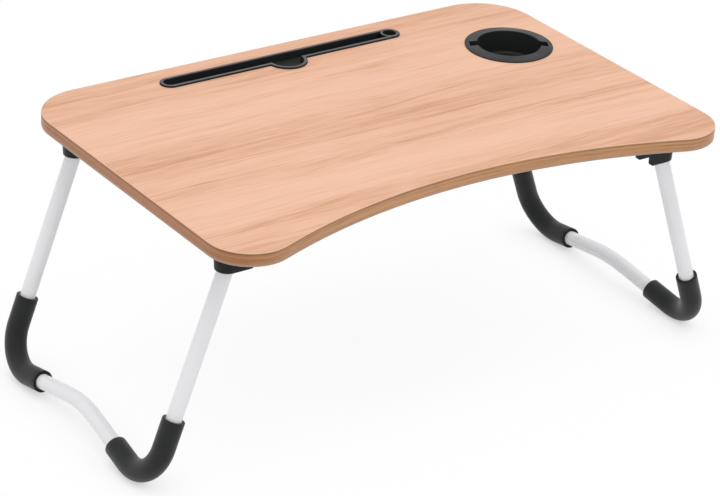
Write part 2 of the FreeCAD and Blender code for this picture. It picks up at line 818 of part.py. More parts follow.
def draw_sleeve_path(sketch, sign, upper, lower):
    """The stretch of the leg's line that one foot sleeve covers."""
    bend, rise = dim("bend_radius"), dim("bar_rise")
    foot = -upright_below_pivot
    bend_x = half_span - bend
    bend_end_x = bend_x - bend * sine(rise)
    bend_end_y = foot - bend * cosine(rise)
    bar_end_x = bend_end_x - lower * cosine(rise)
    bar_end_y = bend_end_y + lower * sine(rise)
    span = (-90 - rise.number, 0) if sign > 0 else (180, 270 + rise.number)
    outer, inner = (END, START) if sign > 0 else (START, END)

    upright = line(sketch, half_span * sign, foot + upper, half_span * sign, foot)
    turn_arc = arc(sketch, bend_x * sign, foot, bend, *span)
    bar = line(sketch, bend_end_x * sign, bend_end_y, bar_end_x * sign, bar_end_y)
    join_smoothly(sketch, upright, END, turn_arc, outer)
    join_smoothly(sketch, turn_arc, inner, bar, START)
    hold(sketch, "Radius", turn_arc, size=bend)
    locate(sketch, upright, START, half_span * sign, foot + upper)
    locate(sketch, turn_arc, CENTRE, bend_x * sign, foot)
    locate(sketch, bar, END, bar_end_x * sign, bar_end_y)


def sweep_ring(body, name, path, centre_y, height, outer, inner):
    """A pipe of ring section along a path that starts straight down."""
    ring = new_sketch(body, f"{name}_ring", "XY_Plane", height)
    circle(ring, ZERO, centre_y, outer)
    circle(ring, ZERO, centre_y, inner)
    pipe = body.newObject("PartDesign::AdditivePipe", f"{name}_pipe")
    pipe.Profile = ring
    pipe.Spine = (path, [f"Edge{n}" for n in range(1, path.GeometryCount + 1)])
    doc.recompute()
    return pipe


def make_leg_tube(side):
    tube = new_body(f"leg_tube_{side}")
    path = new_sketch(tube, f"{side}_tube_path", "YZ_Plane")
    draw_tube_path(path)
    inner = tube_radius - dim("tube_wall")
    sweep_ring(tube, f"{side}_tube", path, half_span, dim("tube_above_pivot"), tube_radius, inner)
    holes = new_sketch(tube, f"{side}_pin_holes", "XZ_Plane")
    circle(holes, ZERO, ZERO, pin_radius + dim("tube_hole_clearance"))
    cut(tube, holes, both_ways=True)
    sit_on_leg(tube, side)


def make_plug(side, end):
    """Tube plug: the bush in the tube's end that turns on the pivot pin."""
    plug = new_body(f"tube_plug_{end}_{side}")
    bore = tube_radius - dim("tube_wall") - dim("plug_clearance")
    top = dim("tube_above_pivot")
    cap, chamfer = dim("plug_cap"), dim("plug_cap_chamfer")
    section = new_sketch(plug, f"{end}_{side}_plug_section", "XZ_Plane")
    polygon(section, [
        (ZERO, top - dim("plug_length")),
        (bore, top - dim("plug_length")),
        (bore, top),
        (tube_radius, top),
        (tube_radius, top + cap - chamfer),
        (tube_radius - chamfer, top + cap),
        (ZERO, top + cap),
    ])
    turn(plug, section)
    hole = new_sketch(plug, f"{end}_{side}_plug_bore", "XZ_Plane")
    circle(hole, ZERO, ZERO, pin_radius + dim("pin_clearance"))
    cut(plug, hole, both_ways=True)
    sit_on_leg(plug, side, end)


def make_sleeve(side, end):
    """Foot sleeve: a soft grip over one bend of the leg, open at both ends."""
    sleeve = new_body(f"foot_sleeve_{end}_{side}")
    name = f"{end}_{side}_sleeve"
    path = new_sketch(sleeve, f"{name}_path", "YZ_Plane")
    # The front right sleeve has slipped down its tube a little, and the rear right one is cut longer at its top
    slip = dim("sleeve_slip") if (side, end) == ("right", "front") else ZERO
    spare = dim("sleeve_spare") if (side, end) == ("right", "rear") else ZERO
    upper, lower = dim("sleeve_upper") - slip + spare, dim("sleeve_lower") + slip
    draw_sleeve_path(path, ENDS[end], upper, lower)
    bore = tube_radius + dim("sleeve_clearance")
    height = upper - upright_below_pivot
    sweep_ring(sleeve, name, path, half_span * ENDS[end], height, sleeve_radius, bore)

    def ring_edge(radius):
        return lambda edge: (isinstance(edge.Curve, Part.Circle) and edge.isClosed()
                             and near(edge.Curve.Radius, radius))

    soften(sleeve, "Chamfer", dim("sleeve_mouth"), ring_edge(bore))
    soften(sleeve, "Fillet", dim("sleeve_round"), ring_edge(sleeve_radius))
    sit_on_leg(sleeve, side)


make_board()
make_tray()
make_cup_holder()
for side, end in corners:
    make_housing(side, end)
    make_pin(side, end)
make_screws()
for side in SIDES:
    make_leg_tube(side)
    for end in ENDS:
        make_plug(side, end)
        make_sleeve(side, end)
doc.recompute()

# Every feature has to be sound before anything is written
for item in doc.Objects:
    if "Invalid" in item.State or "Error" in item.State:
        raise RuntimeError(f"{item.Label} failed: {item.State}")
for item in sub_parts:
    if item.Shape.isNull() or not item.Shape.isValid():
        raise RuntimeError(f"{item.Label} has no valid shape")

os.makedirs("parts", exist_ok=True)
for item in sub_parts:
    item.Shape.exportStep(f"parts/{item.Label}.step")
print(len(sub_parts), "sub-parts written")
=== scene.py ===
import json
import math
from contextlib import contextmanager

import bmesh
import bpy
from bpy.props import FloatProperty, FloatVectorProperty, PointerProperty
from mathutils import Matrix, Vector


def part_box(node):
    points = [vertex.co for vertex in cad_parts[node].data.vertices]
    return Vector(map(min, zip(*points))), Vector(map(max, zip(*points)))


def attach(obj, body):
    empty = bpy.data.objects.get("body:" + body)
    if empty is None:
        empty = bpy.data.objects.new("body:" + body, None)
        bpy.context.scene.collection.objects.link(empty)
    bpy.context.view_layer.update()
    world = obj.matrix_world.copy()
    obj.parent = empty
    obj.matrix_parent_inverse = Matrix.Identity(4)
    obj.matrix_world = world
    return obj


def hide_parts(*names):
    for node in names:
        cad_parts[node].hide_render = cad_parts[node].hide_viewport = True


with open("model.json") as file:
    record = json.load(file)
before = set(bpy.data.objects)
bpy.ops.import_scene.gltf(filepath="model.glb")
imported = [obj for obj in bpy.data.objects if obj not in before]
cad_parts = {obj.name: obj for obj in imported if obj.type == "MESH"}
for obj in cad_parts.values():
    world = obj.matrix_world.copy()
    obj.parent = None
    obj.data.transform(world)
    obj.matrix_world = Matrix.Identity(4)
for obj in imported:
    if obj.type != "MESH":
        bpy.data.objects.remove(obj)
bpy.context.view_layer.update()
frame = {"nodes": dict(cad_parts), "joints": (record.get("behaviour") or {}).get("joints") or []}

bl_info = {
    "name": "Laptop Table",
    "version": (1, 0, 0),
    "blender": (4, 5, 0),
    "location": "View3D > Sidebar > Laptop Table",
    "description": "Finishes of a folding laptop table with a tablet tray and a cup holder",
    "category": "Object",
}

BOARD_LOW, BOARD_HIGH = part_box("edge_band")
SIDES = {"left": -1, "right": 1}
ENDS = {"front": -1, "rear": 1}
CORNERS = [(end, side) for side in SIDES for end in ENDS]
PIVOTS = {joint["child"]: Vector(joint["pos_m"]) for joint in frame["joints"]}

# Points closer than this are merged, and faces that bend less than this become one flat face
MERGE_DISTANCE = 1e-6
FLAT_ANGLE = math.radians(0.3)
# Edges that bend more than this stay sharp
SHARP_ANGLE = math.radians(35)
# Faces round a sleeve, along its bend, along each straight end, and across a rounded lip
SLEEVE_SIDES = 48
BEND_STEPS = 24
STRAIGHT_STEPS = 4
LIP_SEGMENTS = 3
# The open ends of a sleeve bend more than this, and its outside less
LIP_ANGLE = math.radians(50)
# Front and back of the decor, which the tone bands are spread over
DECOR_FRONT, DECOR_BACK = -0.2, 0.2

# Tone of the decor across the board, from its front edge (0) to its back edge (1): 0 pale, 1 dark
TONE_BANDS = [
    (0.0, 0.40), (0.10, 0.46), (0.13, 0.50), (0.17, 0.18), (0.25, 0.08), (0.31, 0.20), (0.345, 0.42),
    (0.375, 0.22), (0.42, 0.20), (0.45, 0.46), (0.50, 0.52), (0.57, 0.42), (0.62, 0.14), (0.72, 0.06),
    (0.80, 0.18), (0.84, 0.40), (0.92, 0.46), (1.0, 0.42),
]
# Dark lines of the decor: start and end along the board, course across it, half width, depth of tone
GRAIN_LINES = [
    ((-0.420, 0.420), (-0.027, -0.026), 0.0014, 0.50),
    ((-0.068, 0.180), (0.004, 0.024), 0.0022, 0.50),
    ((0.080, 0.420), (0.024, 0.023), 0.0030, 0.34),
    ((0.050, 0.180), (0.0765, 0.0770), 0.0016, 0.48),
    ((-0.074, 0.000), (0.0650, 0.0655), 0.0015, 0.46),
    ((-0.170, -0.094), (0.053, 0.059), 0.0013, 0.36),
    ((0.110, 0.218), (-0.098, -0.099), 0.0014, 0.40),
    ((-0.066, -0.012), (-0.1165, -0.1155), 0.0014, 0.46),
    ((-0.030, 0.050), (-0.065, -0.063), 0.0040, 0.34),
    ((0.130, 0.420), (-0.063, -0.064), 0.0016, 0.42),
    ((-0.420, -0.110), (-0.052, -0.053), 0.0024, 0.34),
    ((-0.380, -0.150), (-0.041, -0.042), 0.0012, 0.30),
    ((-0.280, -0.110), (-0.152, -0.143), 0.0040, 0.34),
    ((-0.360, -0.170), (0.136, 0.139), 0.0030, 0.30),
]

# Painted shadow: brightness of the floor against how open it is, under the whole board, and close round the
# feet
UNDER_BOARD = [(0.48, 0.945), (0.66, 1.0)]
ROUND_FEET = [(0.2, 0.62), (0.4, 0.82), (0.55, 0.91), (0.75, 0.965), (0.95, 1.0)]
# Distances within which the board and the feet shade the floor
BOARD_REACH, FEET_REACH = 0.4, 0.05


def colour_property(name, description, default):
    return FloatVectorProperty(
        name=name, description=description, subtype="COLOR", size=3, min=0, max=1, default=default)


def length_property(name, description, default):
    return FloatProperty(
        name=name, description=description, subtype="DISTANCE", unit="LENGTH", min=0, default=default)


class BoardLook(bpy.types.PropertyGroup):
    """Colours of the board's decor, backing and edge band, and the rounding of the band."""
    pale: colour_property("Pale Wood", "Lightest tone between the grain", (0.83, 0.505, 0.352))
    mid: colour_property("Wood", "Main tone of the decor", (0.765, 0.437, 0.289))
    dark: colour_property("Grain", "Tone of the dark streaks", (0.575, 0.285, 0.158))
    band: colour_property("Edge Band", "Main tone of the edge band", (0.53, 0.262, 0.114))
    band_dark: colour_property("Band Grain", "Dark lines of the edge band", (0.33, 0.155, 0.068))
    # Darkens and reddens the band towards the board's left end
    band_left: colour_property(
        "Left Band", "Tint of the redder strip on the board's left edge", (0.82, 0.68, 0.62))
    # Painted reflection: the greyer line on the band's lower lip
    band_foot_reflection: colour_property("Band Foot", "Greyer line at the band's lower lip", (0.43, 0.29, 0.22))
    # Painted highlight: the pale line on the band's top lip
    band_lip_highlight: colour_property("Band Lip", "Pale lip where the band meets the decor", (0.80, 0.52, 0.36))
    backing: colour_property("Backing", "Plain sheet on the board's underside", (0.52, 0.51, 0.495))
    lip_round: length_property("Lip Round", "Rounding of the band's two lips", 0.0009)


class PlasticLook(bpy.types.PropertyGroup):
    """Colours of the moulded parts, the pins and the screws."""
    # Rim colours are painted highlights on the rims' upward-facing tops; slot and well colours are painted
    # shade on the sides and insides
    tray_rim_highlight: colour_property("Tray Rim", "Top of the tray's rim", (0.145, 0.141, 0.146))
    slot: colour_property("Slot", "Inside of the tray", (0.026, 0.0268, 0.0268))
    cup_rim_highlight: colour_property("Cup Rim", "Top of the cup holder's rim", (0.033, 0.032, 0.036))
    well_shade: colour_property("Well", "Inside of the cup holder", (0.021, 0.023, 0.022))
    housing: colour_property("Housing", "Hinge housings", (0.014, 0.016, 0.017))
    screw: colour_property("Screw", "Zinc-plated housing screws", (0.56, 0.57, 0.58))
    pin: colour_property("Pin", "Blackened pivot pins", (0.02, 0.021, 0.022))
    # Heights above which upward-facing faces take the painted rim highlight
    tray_highlight_level: length_property("Tray Level", "Height of the tray's pale rim over the board", 0.0017)
    cup_highlight_level: length_property("Cup Level", "Height of the cup holder's pale rim over the board", 0.0018)


class LegLook(bpy.types.PropertyGroup):
    """Colours of the legs, and the sizes that the foot sleeves are drawn from."""
    paint: colour_property("Paint", "White paint of the tubes", (0.92, 0.915, 0.94))
    sleeve: colour_property("Sleeve", "Outside of the foot sleeves", (0.013, 0.0137, 0.0142))
    # Near-black cut ends and bores: painted shade in the sleeves' mouths
    sleeve_end_shade: colour_property(
        "Sleeve Cut", "Cut ends and bores of the foot sleeves", (0.002, 0.002, 0.002))
    splay: FloatProperty(name="Splay", description="Lean of each leg away from the board's middle",
                         subtype="ANGLE", unit="ROTATION", default=math.radians(19.8))
    rise: FloatProperty(name="Bar Rise", description="Climb of the foot bar from each bend",
                        subtype="ANGLE", unit="ROTATION", default=math.radians(10.4))
    span: length_property("Span", "Distance between a leg's two uprights", 0.2866)
    reach: length_property("Upright", "Straight upright below the pivot", 0.204857)
    bend: length_property("Bend", "Radius of the leg's bends", 0.038)
    sleeve_radius: length_property("Sleeve Radius", "Outside radius of a sleeve", 0.0115)
    sleeve_wall: length_property("Sleeve Wall", "Wall of a sleeve", 0.0033)
    sleeve_upper: length_property("Sleeve Above", "Sleeve length on the upright", 0.031)
    sleeve_lower: length_property("Sleeve Along", "Sleeve length on the foot bar", 0.0265)
    sleeve_slip: length_property("Sleeve Slip", "How far the front right sleeve has slid down", 0.004)
    sleeve_spare: length_property("Sleeve Spare", "Extra length at the top of the rear right sleeve", 0.005)
    sleeve_lip: length_property("Sleeve Lip", "Rounding of a sleeve's open ends", 0.0005)


class StageLook(bpy.types.PropertyGroup):
    """Camera, lamps and floor."""
    camera_place: FloatVectorProperty(
        name="Camera", description="Where the camera stands", subtype="TRANSLATION", unit="LENGTH",
        default=(-1.55469, -2.11081, 1.45957))
    camera_turn: FloatVectorProperty(
        name="Camera Turn", description="How the camera is turned", subtype="EULER", unit="ROTATION",
        default=tuple(math.radians(angle) for angle in (62.9346, -2.8173, -34.7005)))
    lens: FloatProperty(
        name="Lens", description="Focal length on a 36 mm wide sensor, in millimetres",
        default=142.28, min=10)
    floor: colour_property("Floor", "Floor and background", (0.97, 0.97, 0.97))
    floor_white: FloatProperty(
        name="Floor White", description="Share of plain white in the floor as it is seen",
        subtype="FACTOR", min=0, max=1, default=0.965)
    floor_size: length_property("Floor Size", "Side of the square floor", 16)
    floor_drop: length_property("Floor Drop", "Gap between the floor and the feet", 0.0002)
    key: FloatProperty(
        name="Key Lamp", description="Power of the large lamp over the table",
        unit="POWER", default=16.4, min=0)
    key_place: FloatVectorProperty(
        name="Lamp Place", description="Where the large lamp hangs", subtype="TRANSLATION", unit="LENGTH",
        default=(-0.05, -0.3, 2.4))
    key_width: length_property("Lamp Width", "Width of the large lamp", 2.4)
    key_depth: length_property("Lamp Depth", "Depth of the large lamp", 2.0)
    key_aim: length_property("Lamp Aim", "Height over the floor that the large lamp points at", 0.1)
    sky_low: FloatProperty(
        name="Sky Low", description="Strength of the light from the sides", default=0.36, min=0)
    sky_high: FloatProperty(
        name="Sky High", description="Strength of the light from above", default=1.06, min=0)


GROUPS = {"board": BoardLook, "plastic": PlasticLook, "leg": LegLook, "stage": StageLook}


def look(group):
    return getattr(bpy.context.scene, f"laptop_table_{group}")


def rgba(value):
    """A grey level or a colour, with full opacity."""
    channels = (value,) * 3 if isinstance(value, (int, float)) else tuple(value)
    return (*channels, 1)


def scaled(colour, factor):
    """A colour made lighter or darker."""
    return tuple(factor * channel for channel in colour)


class Finish:
    """One node material, built from the surface's own coordinates up to the shader."""

    def __init__(self, name):
        self.material = bpy.data.materials.new(name)
        self.material.use_nodes = True
        self.tree = self.material.node_tree
        self.tree.nodes.clear()
        self.shader = self.tree.nodes.new("ShaderNodeBsdfPrincipled")
        output = self.tree.nodes.new("ShaderNodeOutputMaterial")
        self.tree.links.new(self.shader.outputs["BSDF"], output.inputs["Surface"])
        self.place = self.add("ShaderNodeTexCoord", output="Object")

    def add(self, kind, inputs=None, output=0, **settings):
        node = self.tree.nodes.new(kind)
        for key, value in settings.items():
            setattr(node, key, value)
        for key, value in (inputs or {}).items():
            self.feed(node.inputs[key], value)
        return node.outputs[output]

    def feed(self, socket, value):
        if isinstance(value, bpy.types.NodeSocket):
            self.tree.links.new(value, socket)
        else:
            socket.default_value = value

    def axis(self, name, vector=None):
        """One coordinate of a vector, or of the surface's own place."""
        return self.add("ShaderNodeSeparateXYZ", {"Vector": self.place if vector is None else vector}, name)

    def stretched(self, scale):
        return self.add("ShaderNodeMapping", {"Vector": self.place, "Scale": scale})

    def noise(self, vector, detail=2.0, roughness=0.5, distortion=0.0):
        return self.add("ShaderNodeTexNoise", {
            "Vector": vector, "Scale": 1.0, "Detail": detail, "Roughness": roughness,
            "Distortion": distortion}, "Fac")

    def ramp(self, factor, stops, smooth="LINEAR"):
        node = self.tree.nodes.new("ShaderNodeValToRGB")
        node.color_ramp.interpolation = smooth
        while len(node.color_ramp.elements) < len(stops):
            node.color_ramp.elements.new(0.5)
        for element, (position, value) in zip(node.color_ramp.elements, stops):
            element.position = position
            element.color = rgba(value)
        self.tree.links.new(factor, node.inputs["Fac"])
        return node.outputs["Color"]

    def math(self, operation, first, second=0.0, clamp=False):
        return self.add("ShaderNodeMath", {0: first, 1: second}, operation=operation, use_clamp=clamp)

    def spread(self, value, low, high, to_low=0.0, to_high=1.0):
        return self.add("ShaderNodeMapRange", {
            "Value": value, "From Min": low, "From Max": high, "To Min": to_low, "To Max": to_high})

    def blend(self, factor, first, second, how="MIX"):
        node = self.tree.nodes.new("ShaderNodeMix")
        node.data_type = "RGBA"
        node.blend_type = how
        self.feed(node.inputs["Factor"], factor)
        for key, value in (("A", first), ("B", second)):
            socket = next(s for s in node.inputs if s.name == key and s.type == "RGBA")
            self.feed(socket, value if isinstance(value, bpy.types.NodeSocket) else rgba(value))
        return next(s for s in node.outputs if s.type == "RGBA")

    def cover(self, distance):
        """How open the surface is to what stands within a distance of it."""
        return self.add("ShaderNodeAmbientOcclusion", {"Distance": distance}, "AO")

    def bump(self, height, distance, strength=1.0):
        normal = self.add("ShaderNodeBump", {"Height": height, "Distance": distance, "Strength": strength})
        self.feed(self.shader.inputs["Normal"], normal)

    def set(self, **sockets):
        for key, value in sockets.items():
            self.feed(self.shader.inputs[key.replace("_", " ")], value)


def grain_line(finish, along, across, line):
    """One dark line of the decor's figure, fading out towards its ends."""
    (start, end), (first, last), half_width, depth = line
    fade = 0.25 * (end - start)
    course = finish.spread(along, start, end, first, last)
    off = finish.math("ABSOLUTE", finish.math("SUBTRACT", across, course))
    mark = finish.spread(off, 0.0, half_width, depth, 0.0)
    mark = finish.math("MULTIPLY", mark, finish.spread(along, start, start + fade))
    return finish.math("MULTIPLY", mark, finish.spread(along, end - fade, end, 1.0, 0.0))


def wood_decor():
    """Beech decor: broad tone bands, a figure of dark lines, wavy streaks and fine fibres."""
    wood = look("board")
    finish = Finish("beech_decor_top")
    along, across = finish.axis("X"), finish.axis("Y")
    wave = finish.noise(finish.stretched((5.0, 12.0, 1.0)), detail=2.0)
    bent = finish.math("ADD", across, finish.spread(wave, 0.25, 0.75, -0.004, 0.004))
    grain_place = finish.add("ShaderNodeCombineXYZ", {"X": along, "Y": bent})

    def grain(scale, **kwargs):
        stretched = finish.add("ShaderNodeMapping", {"Vector": grain_place, "Scale": scale})
        return finish.noise(stretched, **kwargs)

    bands = finish.ramp(finish.spread(bent, DECOR_FRONT, DECOR_BACK), TONE_BANDS, "EASE")
    patches = grain((2.2, 14.0, 1.0), detail=2.0, distortion=0.3)
    streaks = grain((3.4, 75.0, 1.0), detail=4.0, roughness=0.62, distortion=0.5)
    dashes = grain((9.0, 230.0, 1.0), detail=3.0, roughness=0.6, distortion=0.3)
    fibres = grain((22.0, 620.0, 1.0), detail=3.0, roughness=0.65)
    dark_streaks = finish.ramp(streaks, [(0.40, 0.0), (0.56, 0.35), (0.70, 1.0)])

    tone = finish.math("ADD", bands, finish.spread(patches, 0.3, 0.7, -0.16, 0.16))
    tone = finish.math("ADD", tone, finish.math("MULTIPLY", dark_streaks, 0.44))
    tone = finish.math("ADD", tone, finish.spread(dashes, 0.3, 0.7, -0.15, 0.15))
    tone = finish.math("ADD", tone, finish.spread(fibres, 0.3, 0.7, -0.24, 0.24))
    figure = 0.0
    for line in GRAIN_LINES:
        figure = finish.math("MAXIMUM", figure, grain_line(finish, along, bent, line))
    broken = finish.spread(streaks, 0.35, 0.6, 0.55, 1.0)
    tone = finish.math("ADD", tone, finish.math("MULTIPLY", figure, broken), clamp=True)
    colour = finish.ramp(tone, [(0.0, wood.pale), (0.45, wood.mid), (1.0, wood.dark)])
    finish.set(Base_Color=colour, Roughness=finish.spread(fibres, 0.3, 0.7, 0.46, 0.58),
               Specular_IOR_Level=0.35)
    finish.bump(finish.math("ADD", fibres, finish.math("MULTIPLY", streaks, 0.5)), 0.00006, 0.6)
    return finish.material


def band_wood():
    """Brown edge band: fine lines along the edge, a painted highlight as a pale lip at the top, and a
    painted reflection as a greyer line below.
    """
    wood = look("board")
    finish = Finish("brown_edge_band")
    level = finish.spread(finish.axis("Z"), BOARD_LOW.z, BOARD_HIGH.z)
    lines = finish.noise(finish.stretched((5.0, 5.0, 520.0)), detail=3.0, roughness=0.6, distortion=0.2)
    flecks = finish.noise(finish.stretched((60.0, 60.0, 900.0)), detail=2.0)
    tone = finish.math("ADD", finish.spread(lines, 0.25, 0.75, 0.0, 1.0),
                       finish.spread(flecks, 0.3, 0.7, -0.15, 0.15), clamp=True)
    grain = finish.ramp(tone, [(0.0, wood.band_dark), (0.5, wood.band), (1.0, scaled(wood.band, 1.25))])
    shade = finish.ramp(level, [(0.0, 1.0), (0.76, 1.0), (0.84, 0.78), (0.93, 0.70), (0.95, 1.0)])
    grain = finish.blend(1.0, grain, shade, "MULTIPLY")
    # Darkens and reddens the band towards the board's left end
    left = finish.spread(finish.axis("X"), BOARD_LOW.x + 0.01, BOARD_LOW.x + 0.05, 1.0, 0.0)
    grain = finish.blend(left, grain, wood.band_left, "MULTIPLY")
    # Painted reflection on the band's lower lip
    foot = finish.ramp(level, [(0.0, 0.9), (0.08, 0.75), (0.24, 0.0)])
    colour = finish.blend(foot, grain, wood.band_foot_reflection)
    # Painted highlight on the band's top lip
    lip = finish.ramp(level, [(0.945, 0.0), (0.975, 0.7), (1.0, 1.0)])
    colour = finish.blend(lip, colour, wood.band_lip_highlight)
    finish.set(Base_Color=colour, Roughness=finish.spread(lines, 0.25, 0.75, 0.42, 0.55),
               Specular_IOR_Level=0.4, Coat_Weight=0.2, Coat_Roughness=0.12)
    finish.bump(lines, 0.00005, 0.5)
    return finish.material


def chip_core():
    """Pressed chips of the board's core."""
    wood = look("board")
    finish = Finish("pressed_chip_core")
    chips = finish.add("ShaderNodeTexVoronoi", {"Vector": finish.place, "Scale": 420.0}, "Color")
    dust = finish.noise(finish.stretched((900.0, 900.0, 900.0)), detail=2.0)
    tone = finish.math("ADD", finish.math("MULTIPLY", chips, 0.6), finish.math("MULTIPLY", dust, 0.4))
    finish.set(Base_Color=finish.ramp(tone, [(0.2, wood.band), (0.8, wood.mid)]), Roughness=0.85)
    finish.bump(tone, 0.0002, 0.5)
    return finish.material


def backing_sheet():
    """Plain pale sheet on the underside, with faint paper fibres."""
    finish = Finish("pale_backing_sheet")
    fibres = finish.noise(finish.stretched((60.0, 260.0, 1.0)), detail=4.0, roughness=0.65, distortion=0.4)
    clouds = finish.noise(finish.stretched((9.0, 9.0, 1.0)), detail=3.0)
    sheet = look("board").backing
    tone = finish.math("ADD", finish.math("MULTIPLY", fibres, 0.6), finish.math("MULTIPLY", clouds, 0.4))
    finish.set(Base_Color=finish.ramp(tone, [(0.3, scaled(sheet, 0.9)), (0.6, sheet)]),
               Roughness=finish.spread(fibres, 0.3, 0.7, 0.55, 0.68), Specular_IOR_Level=0.3)
    finish.bump(fibres, 0.00005, 0.5)
    return finish.material


def moulded_plastic(name, lit_top_colour, shaded_deep_colour, highlight_level, roughness, gloss=0.18):
    """Fine-grained moulded plastic, with a painted highlight on its upward-facing top faces and painted
    shade on its sides and insides.
    """
    finish = Finish(name)
    grain = finish.noise(finish.stretched((2600.0, 2600.0, 2600.0)), detail=2.0)
    clouds = finish.noise(finish.stretched((45.0, 45.0, 45.0)), detail=2.0)
    upward = finish.axis("Z", finish.add("ShaderNodeTexCoord", output="Normal"))
    # Painted highlight on upward-facing faces above the rim level, painted shade below it
    raised = finish.spread(finish.axis("Z"), highlight_level - 0.0003, highlight_level + 0.0001)
    highlight_share = finish.math("MULTIPLY", raised, finish.spread(upward, 0.85, 0.97))
    colour = finish.blend(highlight_share, shaded_deep_colour, lit_top_colour)
    colour = finish.blend(finish.spread(clouds, 0.3, 0.7, 0.0, 0.22), colour, (0.0, 0.0, 0.0))
    dull = finish.spread(clouds, 0.3, 0.7, roughness - 0.05, roughness + 0.07)
    finish.set(Base_Color=colour, Roughness=dull, Specular_IOR_Level=gloss)
    finish.bump(grain, 0.00004, 0.5)
    return finish.material


def white_paint():
    """Satin white paint over steel tube, with a faint orange peel."""
    finish = Finish("white_tube_paint")
    peel = finish.noise(finish.stretched((700.0, 700.0, 700.0)), detail=1.5)
    soil = finish.noise(finish.stretched((18.0, 18.0, 18.0)), detail=3.0)
    soiled = finish.spread(soil, 0.35, 0.75, 0.0, 0.06)
    colour = finish.blend(soiled, look("leg").paint, (0.45, 0.44, 0.42))
    finish.set(Base_Color=colour, Roughness=finish.spread(soil, 0.3, 0.7, 0.30, 0.38), Coat_Weight=0.15,
               Coat_Roughness=0.2)
    finish.bump(peel, 0.00005, 0.35)
    return finish.material


def sleeve_foam(name, tone):
    """Matte foam rubber with fine pores and a dusty bloom."""
    finish = Finish(name)
    pores = finish.add("ShaderNodeTexVoronoi", {"Vector": finish.place, "Scale": 1500.0}, "Distance")
    lumps = finish.noise(finish.stretched((120.0, 120.0, 120.0)), detail=3.0)
    colour = finish.blend(finish.spread(lumps, 0.35, 0.75, 0.0, 0.3), tone, scaled(tone, 2.6))
    finish.set(Base_Color=colour, Roughness=finish.spread(lumps, 0.3, 0.7, 0.62, 0.74),
               Specular_IOR_Level=0.25, Sheen_Weight=0.42, Sheen_Roughness=0.43)
    finish.bump(finish.math("ADD", pores, finish.math("MULTIPLY", lumps, 0.8)), 0.00012, 0.45)
    return finish.material


def turned_steel(name, tone):
    """Plated or blackened steel with fine turning marks."""
    finish = Finish(name)
    marks = finish.noise(finish.stretched((900.0, 900.0, 3200.0)), detail=2.0)
    colour = finish.blend(finish.spread(marks, 0.3, 0.7, 0.0, 0.25), tone, scaled(tone, 0.6))
    finish.set(Base_Color=colour, Metallic=1.0, Roughness=finish.spread(marks, 0.3, 0.7, 0.28, 0.42))
    finish.bump(marks, 0.00003, 0.4)
    return finish.material


def dress(node, material):
    """Give a CAD node its finish."""
    for slot in frame["nodes"][node].material_slots:
        slot.material = material


def select_only(piece):
    bpy.ops.object.select_all(action="DESELECT")
    piece.select_set(True)
    bpy.context.view_layer.objects.active = piece


@contextmanager
def editing(piece, kind):
    """Edit mode on one piece, with nothing selected at first."""
    select_only(piece)
    bpy.ops.object.mode_set(mode="EDIT")
    bpy.ops.mesh.select_mode(type=kind)
    bpy.ops.mesh.select_all(action="DESELECT")
    yield bmesh.from_edit_mesh(piece.data)
    bpy.ops.object.mode_set(mode="OBJECT")


def copy_of(node, name):
    """A merged copy of a CAD node, with its flat faces whole, ready for its edges to be softened."""
    mesh = frame["nodes"][node].data.copy()
    piece = bpy.data.objects.new(name, mesh)
    bpy.context.scene.collection.objects.link(piece)
    select_only(piece)
    bpy.ops.mesh.customdata_custom_splitnormals_clear()
    with editing(piece, "VERT"):
        bpy.ops.mesh.select_all(action="SELECT")
        bpy.ops.mesh.remove_doubles(threshold=MERGE_DISTANCE)
        bpy.ops.mesh.dissolve_limited(angle_limit=FLAT_ANGLE)
    return piece


def settle(piece, body, node):
    """Smooth a new piece, hang it on the body it rides on and hide the CAD node it stands for."""
    select_only(piece)
    bpy.ops.object.shade_smooth_by_angle(angle=SHARP_ANGLE)
    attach(piece, body)
    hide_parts(node)


class LAPTOP_TABLE_OT_board(bpy.types.Operator):
    """Finish the board's core, its decor face and its plain backing"""
    bl_idname = "laptop_table.board"
    bl_label = "Board"
    bl_options = {"REGISTER", "UNDO"}

    def execute(self, context):
        dress("board_core", chip_core())
        dress("top_laminate", wood_decor())
        dress("bottom_laminate", backing_sheet())
        return {"FINISHED"}


class LAPTOP_TABLE_OT_edge_band(bpy.types.Operator):
    """Make the edge band with softly rounded lips"""
    bl_idname = "laptop_table.edge_band"
    bl_label = "Edge Band"
    bl_options = {"REGISTER", "UNDO"}

    def execute(self, context):
        piece = copy_of("edge_band", "rounded_edge_band")
        with editing(piece, "EDGE") as mesh:
            for edge in mesh.edges:
                flat = [f for f in edge.link_faces if abs(f.normal.z) > 0.9]
                wall = [f for f in edge.link_faces if abs(f.normal.z) < 0.1]
                if flat and wall:
                    middle = (edge.verts[0].co + edge.verts[1].co) / 2
                    middle.z = 0
                    edge.select_set(wall[0].normal.dot(middle) > 0)
            bpy.ops.mesh.bevel(offset=look("board").lip_round, segments=LIP_SEGMENTS, affect="EDGES")
        piece.data.materials.clear()
        piece.data.materials.append(band_wood())
        settle(piece, "tabletop", "edge_band")
        return {"FINISHED"}


class LAPTOP_TABLE_OT_inserts(bpy.types.Operator):
    """Finish the tablet tray and the cup holder"""
    bl_idname = "laptop_table.inserts"
    bl_label = "Tray and Cup Holder"
    bl_options = {"REGISTER", "UNDO"}

    def execute(self, context):
        colours = look("plastic")
        dress("tablet_tray", moulded_plastic(
            "tray_plastic_painted_light", colours.tray_rim_highlight, colours.slot, BOARD_HIGH.z + colours.tray_highlight_level,
            roughness=0.5, gloss=0.08))
        dress("cup_holder", moulded_plastic(
            "cup_holder_plastic_painted_light", colours.cup_rim_highlight, colours.well_shade, BOARD_HIGH.z + colours.cup_highlight_level,
            roughness=0.40))
        return {"FINISHED"}


